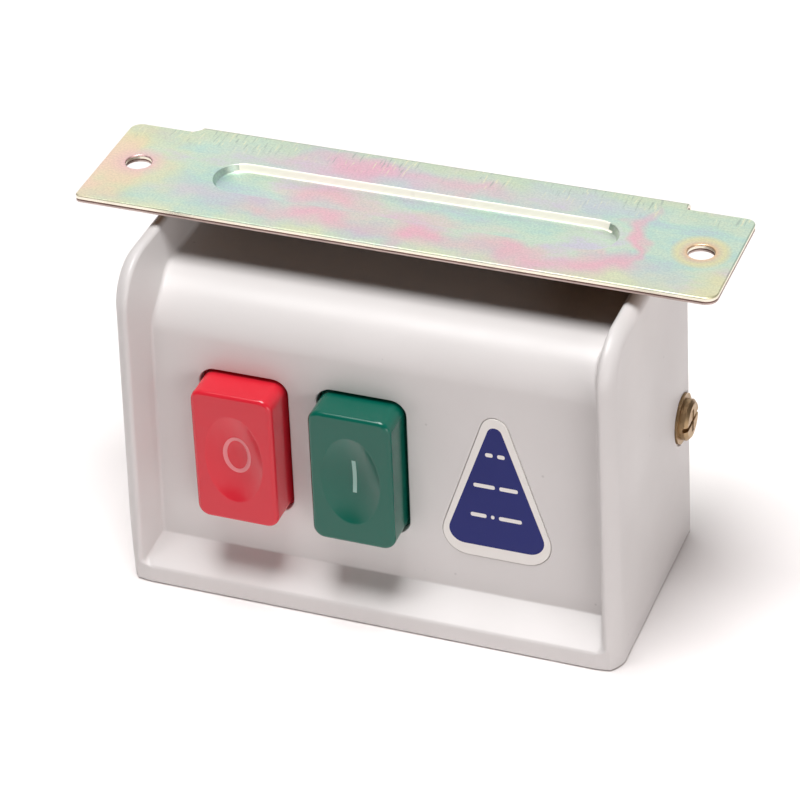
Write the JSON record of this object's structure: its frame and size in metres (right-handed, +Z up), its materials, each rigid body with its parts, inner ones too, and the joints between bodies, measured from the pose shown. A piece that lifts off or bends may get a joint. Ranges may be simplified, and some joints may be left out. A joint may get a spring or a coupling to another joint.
{
  "type": "magnetic motor starter",
  "caption": "Push-button magnetic motor switch in an off-white cover under a folded steel bracket: red stop and green start buttons, sprung contactor with coil and contacts inside.",
  "frame": {"origin": "midway between the two mounting holes, on the bracket's upper face, which is bolted under a table", "axes": "+X to the right seen from the front, +Y towards the back, +Z up, out of the mounting face"},
  "size_m": [0.128, 0.052, 0.077],
  "materials": {
    "chromate_steel": "iridescent yellow chromate on zinc, satin",
    "cover_plastic": "satin moulded plastic, warm off-white",
    "label_print": "satin printed foil, blue field and white border",
    "red_plastic": "satin moulded plastic",
    "green_plastic": "satin moulded plastic",
    "chromate_screw": "yellow chromate on zinc, bright",
    "rubber": "matt",
    "spring_steel": "bright drawn wire",
    "black_phenolic": "satin moulded",
    "zinc_steel": "bright zinc",
    "core_steel": "ground laminations",
    "copper": "bright copper",
    "natural_plastic": "satin moulded",
    "silver": "satin silver alloy",
    "brass": "satin brass",
    "wire_black": "satin insulation",
    "wire_brown": "satin insulation"
  },
  "bodies": {
    "housing": {"mounting_bracket": "chromate_steel", "cover": "cover_plastic", "label": "label_print", "cover_screws": "chromate_screw", "cover_screw_washers": "chromate_screw", "cable_grommets": "rubber", "off_button_spring": "spring_steel", "on_button_spring": "spring_steel", "contactor_base": "black_phenolic", "contactor_housing": "black_phenolic", "housing_screws": "zinc_steel", "contactor_screws": "zinc_steel", "contactor_screw_washers": "zinc_steel", "magnet_core": "core_steel", "shading_rings": "copper", "coil_bobbin": "natural_plastic", "coil_winding": "copper", "line_contacts": "brass", "load_contacts": "brass", "fixed_contact_tips": "silver", "terminal_screws": "zinc_steel", "terminal_clamps": "brass", "return_springs": "spring_steel", "stop_fixed_contacts": "brass", "stop_fixed_tips": "silver", "stop_contact_screws": "zinc_steel", "coil_lead": "wire_black", "load_lead": "wire_black", "line_lead": "wire_brown", "earth_screw": "zinc_steel", "earth_tag": "zinc_steel"},
    "off_button": {"off_button": "red_plastic", "stop_bridge": "copper", "stop_bridge_tips": "silver", "stop_bridge_retainer": "spring_steel"},
    "on_button": {"on_button": "green_plastic"},
    "contact_carrier": {"contact_carrier": "natural_plastic", "armature": "core_steel", "armature_rivet": "zinc_steel", "moving_contact_bridges": "copper", "moving_contact_tips": "silver", "contact_springs": "spring_steel"}
  },
  "joints": [
    {"name": "off_press", "type": "slide", "parent": "housing", "child": "off_button", "axis": [0, 1, 0], "range_m": [0, 0.004], "stiffness_N_per_m": 350, "springref_m": -0.004, "deforming": ["off_button_spring"]},
    {"name": "on_press", "type": "slide", "parent": "housing", "child": "on_button", "axis": [0, 1, 0], "range_m": [0, 0.0045], "stiffness_N_per_m": 350, "springref_m": -0.004, "deforming": ["on_button_spring"]},
    {"name": "carrier_slide", "type": "slide", "parent": "housing", "child": "contact_carrier", "axis": [0, 1, 0], "range_m": [0, 0.0045], "stiffness_N_per_m": 500, "springref_m": -0.003, "deforming": ["return_springs"]}
  ],
  "couplings": [
    {"joint": "carrier_slide", "follows": "on_press", "ratio": 1}
  ]
}
